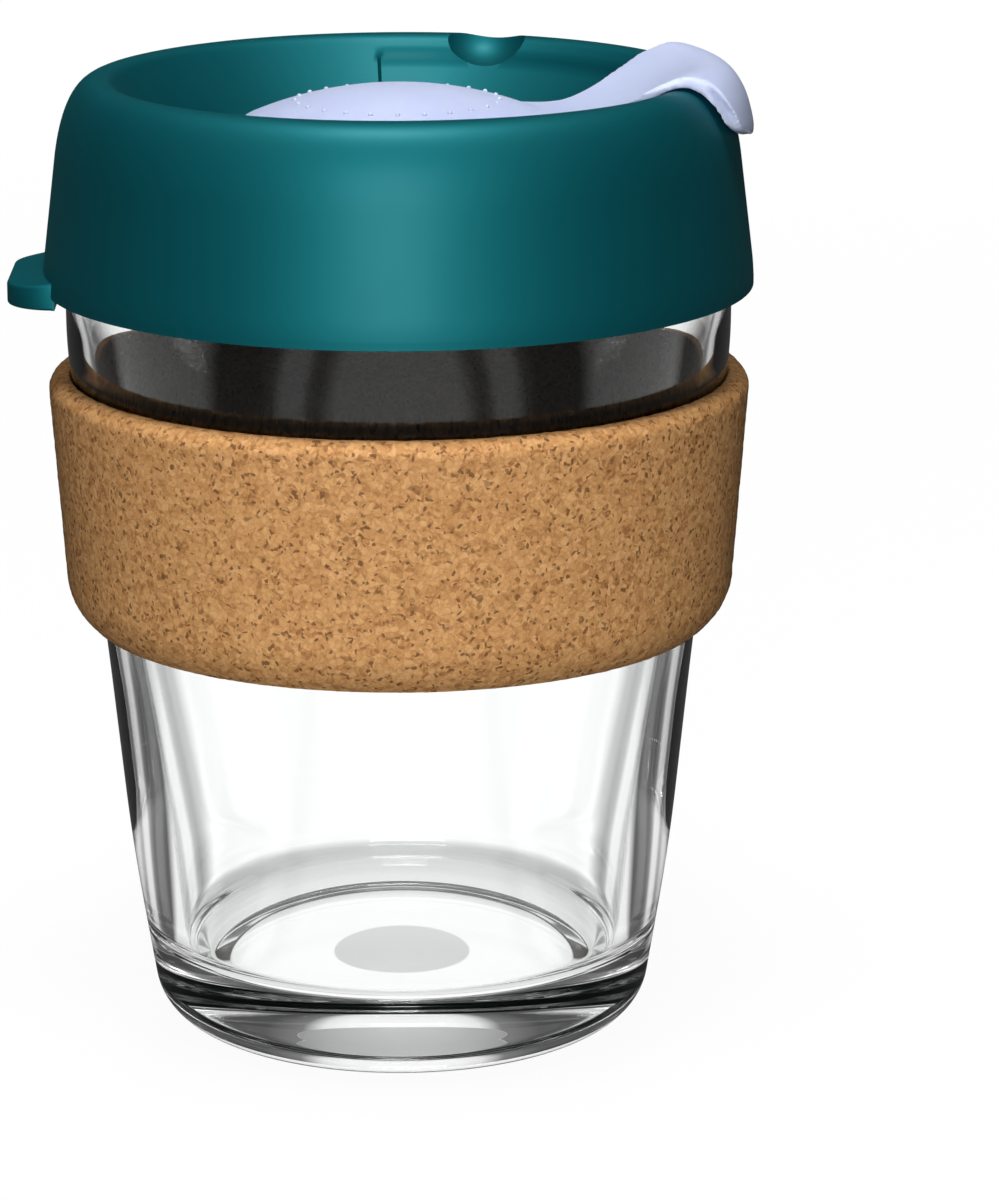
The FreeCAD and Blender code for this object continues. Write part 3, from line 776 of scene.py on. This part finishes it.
# Seal under the arm that covers the drinking slot: its foot follows the bowl wall.
def makeSeal():
    shape = sealShape
    wall = lidShape["bowlRadius"] + lidShape["trackDepth"]
    foot = []
    for across in (shape["inner"], shape["outer"]):
        height = lidShape["deckHeight"] + (across - wall) / bowlSlope() + shape["gap"]
        foot.append((across, height, shape["footRound"]))
    path = roundedPath([(shape["inner"], shape["topIn"], 0), *foot,
                        (shape["outer"], shape["topOut"], 0), (shape["inner"], shape["topIn"], 0)])
    half = math.radians(shape["halfAngle"])
    return lathe("plugSeal", denser(path, shape["cell"]), shape["steps"], sweep=2 * half, start=-half)


def makePlug(material):
    plug = makeDisc()
    arm = makeArm()
    seal = makeSeal()
    makeActive(plug)
    arm.select_set(True)
    seal.select_set(True)
    bpy.ops.object.join()
    applyModifier(plug, "REMESH", mode="VOXEL", voxel_size=plugShape["voxel"] * mm)
    applyModifier(plug, "SMOOTH", factor=plugShape["smoothing"], iterations=plugShape["smoothRounds"])
    addDots(plug)
    plug.name = "turningPlug"
    plug.data.name = "turningPlug"
    smoothShade(plug, 60)
    finishPiece(plug, material, "plug_plastic", None, "plug_disc", "plug_arm", "plug_stopper")
    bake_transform(plug)
    return plug


cameraShape = {"distance": 0.57244, "height": 0.20588, "pitch": 14.88, "roll": 0.29,
               "lens": 140.19, "shift": 0.0829}


def makeCamera():
    data = bpy.data.cameras.new("studioCamera")
    data.lens = cameraShape["lens"]
    data.sensor_width = 36
    data.shift_x = cameraShape["shift"]
    data.clip_start = 0.01
    camera = bpy.data.objects.new("studioCamera", data)
    camera.location = (0, -cameraShape["distance"], cameraShape["height"])
    tilt = Euler((math.radians(90 - cameraShape["pitch"]), 0, 0)).to_matrix()
    roll = Matrix.Rotation(math.radians(-cameraShape["roll"]), 3, "Z")
    camera.rotation_euler = (tilt @ roll).to_euler()
    bpy.context.scene.collection.objects.link(camera)
    bpy.context.scene.camera = camera


def softbox(name, location, target, width, height, power):
    data = bpy.data.lights.new(name, "AREA")
    data.shape = "RECTANGLE"
    data.size = width
    data.size_y = height
    data.energy = power
    light = bpy.data.objects.new(name, data)
    light.location = location
    aim = Vector(target) - Vector(location)
    light.rotation_euler = aim.to_track_quat("-Z", "Y").to_euler()
    bpy.context.scene.collection.objects.link(light)
    return light


floorFinish = {
    "grey": (0.05, 0.05, 0.05, 1), "rough": 0.7, "half": 3.0,
    "glow": 0.95, "through": 1.15, "fill": 0.02,
    "aside": 26 * mm, "baseFrom": 22 * mm, "baseTo": 30 * mm,
}
roomFill = 0.02

# Painted light and shade that the glass picks up from the table, by degrees off two lines beside the Y
# axis: bright and dark stretches on the floor.
paintedTableLevels = ((0, 1.0), (13, 1.0), (17, 0.45), (20, 0.2), (23, 0.3), (26, 0.85), (33, 0.85),
               (37, 0.2), (42, 0.06), (60, 0.06), (68, 0.9), (90, 0.9))
# The same painted pattern by millimetres from the centre: white under the base, painted shade just
# round the foot.
paintedNearLevels = ((0, 1.0), (22, 1.0), (29, 0.7), (35, 0.55), (42, 0.6), (50, 1.0), (100, 1.0))
# Light that the glass picks up from the room, by degrees off the Y axis.
roomLevels = ((0, 1.0), (9, 1.0), (13, 0.85), (17, 0.2), (25, 0.08), (66, 0.06), (75, 0.9),
              (90, 0.9))


# Turns a share from 0 to 1 into the brightness that a table of levels gives.
def levelRamp(nodes, links, value, levels):
    ramp = nodes.new("ShaderNodeValToRGB")
    elements = ramp.color_ramp.elements
    elements.remove(elements[1])
    for index, (place, level) in enumerate(levels):
        element = elements[0] if index == 0 else elements.new(place / levels[-1][0])
        element.position = place / levels[-1][0]
        element.color = (level, level, level, 1)
    links.new(value, ramp.inputs["Fac"])
    return ramp.outputs["Color"]


# How far a place or direction lies off the Y axis, from 0 to 1 at a right angle.
def axisShare(nodes, links, vector, aside=0.0):
    parts = nodes.new("ShaderNodeSeparateXYZ")
    links.new(vector, parts.inputs["Vector"])
    side = mathNode(nodes, links, "ABSOLUTE", parts.outputs["X"])
    side = mathNode(nodes, links, "SUBTRACT", side, aside)
    side = mathNode(nodes, links, "MAXIMUM", side, 0.0)
    along = mathNode(nodes, links, "ABSOLUTE", parts.outputs["Y"])
    turn = mathNode(nodes, links, "ARCTAN2", side, along)
    return mathNode(nodes, links, "DIVIDE", turn, math.pi / 2)


# A pale light-table floor: its glow is seen evenly white, but through the glass it shows painted light
# and shade in stretches, and it lights the cup only a little.
def makeFloor():
    deselectAll()
    bpy.ops.mesh.primitive_plane_add(size=2 * floorFinish["half"], location=(0, 0, 0))
    floor = bpy.context.object
    floor.name = "paleFloor"
    bpy.ops.object.mode_set(mode="EDIT")
    bpy.ops.mesh.subdivide(number_cuts=3)
    bpy.ops.object.mode_set(mode="OBJECT")
    material, nodes, links, surface = newMaterial("paleFloorPaintedLight")
    surface.inputs["Base Color"].default_value = floorFinish["grey"]
    surface.inputs["Roughness"].default_value = floorFinish["rough"]
    surface.inputs["Specular IOR Level"].default_value = 0.0
    surface.inputs["Emission Color"].default_value = (1, 1, 1, 1)
    place = nodes.new("ShaderNodeTexCoord")
    turn = axisShare(nodes, links, place.outputs["Object"], floorFinish["aside"])
    around = levelRamp(nodes, links, turn, paintedTableLevels)
    away = addNode(nodes, "ShaderNodeVectorMath", {"operation": "LENGTH"})
    links.new(place.outputs["Object"], away.inputs[0])
    reach = mathNode(nodes, links, "DIVIDE", away.outputs["Value"], paintedNearLevels[-1][0] * mm)
    near = levelRamp(nodes, links, reach, paintedNearLevels)
    under = addNode(nodes, "ShaderNodeMapRange", values={
        "From Min": floorFinish["baseFrom"], "From Max": floorFinish["baseTo"],
        "To Min": 1.0, "To Max": 0.0})
    links.new(away.outputs["Value"], under.inputs["Value"])
    level = mathNode(nodes, links, "MULTIPLY", near,
                     mathNode(nodes, links, "MAXIMUM", around, under.outputs["Result"]))
    path = nodes.new("ShaderNodeLightPath")
    # painted light and shade: rays through the glass see the floor in bright and dark stretches, the
    # camera sees it evenly white
    through = mathNode(nodes, links, "MULTIPLY", path.outputs["Is Transmission Ray"], level)
    through = mathNode(nodes, links, "MULTIPLY", through, floorFinish["through"])
    seen = mathNode(nodes, links, "MAXIMUM", path.outputs["Is Camera Ray"], through)
    glow = mathNode(nodes, links, "MULTIPLY", seen, floorFinish["glow"])
    strength = mathNode(nodes, links, "MAXIMUM", glow, floorFinish["fill"])
    links.new(strength, surface.inputs["Emission Strength"])
    floor.data.materials.append(material)


# The room is seen white, lights little, and shows the glass bright and dark stretches.
def makeWorld():
    world = bpy.data.worlds.new("studio")
    bpy.context.scene.world = world
    world.use_nodes = True
    nodes, links = world.node_tree.nodes, world.node_tree.links
    background = nodes["Background"]
    background.inputs["Color"].default_value = (1, 1, 1, 1)
    place = nodes.new("ShaderNodeTexCoord")
    levels = levelRamp(nodes, links, axisShare(nodes, links, place.outputs["Generated"]), roomLevels)
    path = nodes.new("ShaderNodeLightPath")
    through = mathNode(nodes, links, "MULTIPLY", path.outputs["Is Transmission Ray"], levels)
    seen = mathNode(nodes, links, "MAXIMUM", path.outputs["Is Camera Ray"], through)
    strength = mathNode(nodes, links, "MAXIMUM", seen, roomFill)
    links.new(strength, background.inputs["Strength"])


studioLights = {
    "overheadBox": {"location": (-0.02, -0.18, 0.95), "target": (0, 0, 0.1),
                    "width": 0.3, "height": 0.3, "power": 7},
    "frontBox": {"location": (-0.04, -1.15, 0.32), "target": (0, 0, 0.08),
                 "width": 0.5, "height": 0.55, "power": 11.5},
    "backBox": {"location": (0.1, 1.2, 0.45), "target": (0, 0, 0.08),
                "width": 0.4, "height": 0.7, "power": 7},
}
bounceLimits = {"max_bounces": 24, "glossy_bounces": 16, "transmission_bounces": 24}


def makeStudio():
    makeCamera()
    makeFloor()
    makeWorld()
    boxes = {name: softbox(name, **light) for name, light in studioLights.items()}
    boxes["backBox"].visible_transmission = False    # lights the back, but isn't seen in the glass
    boxes["backBox"].visible_glossy = False
    scene = bpy.context.scene
    scene.view_settings.view_transform = "Standard"
    scene.view_settings.look = "None"
    scene.cycles.caustics_reflective = False
    scene.cycles.caustics_refractive = False
    for limit, count in bounceLimits.items():
        setattr(scene.cycles, limit, count)


makeStudio()
print("studio ready")
makeGlass(glassMaterial())
print("glass ready")
makeBand(corkMaterial())
print("band ready")
makeLid(lidMaterial())
print("lid ready")
makePlug(plugMaterial())
print("plug ready")
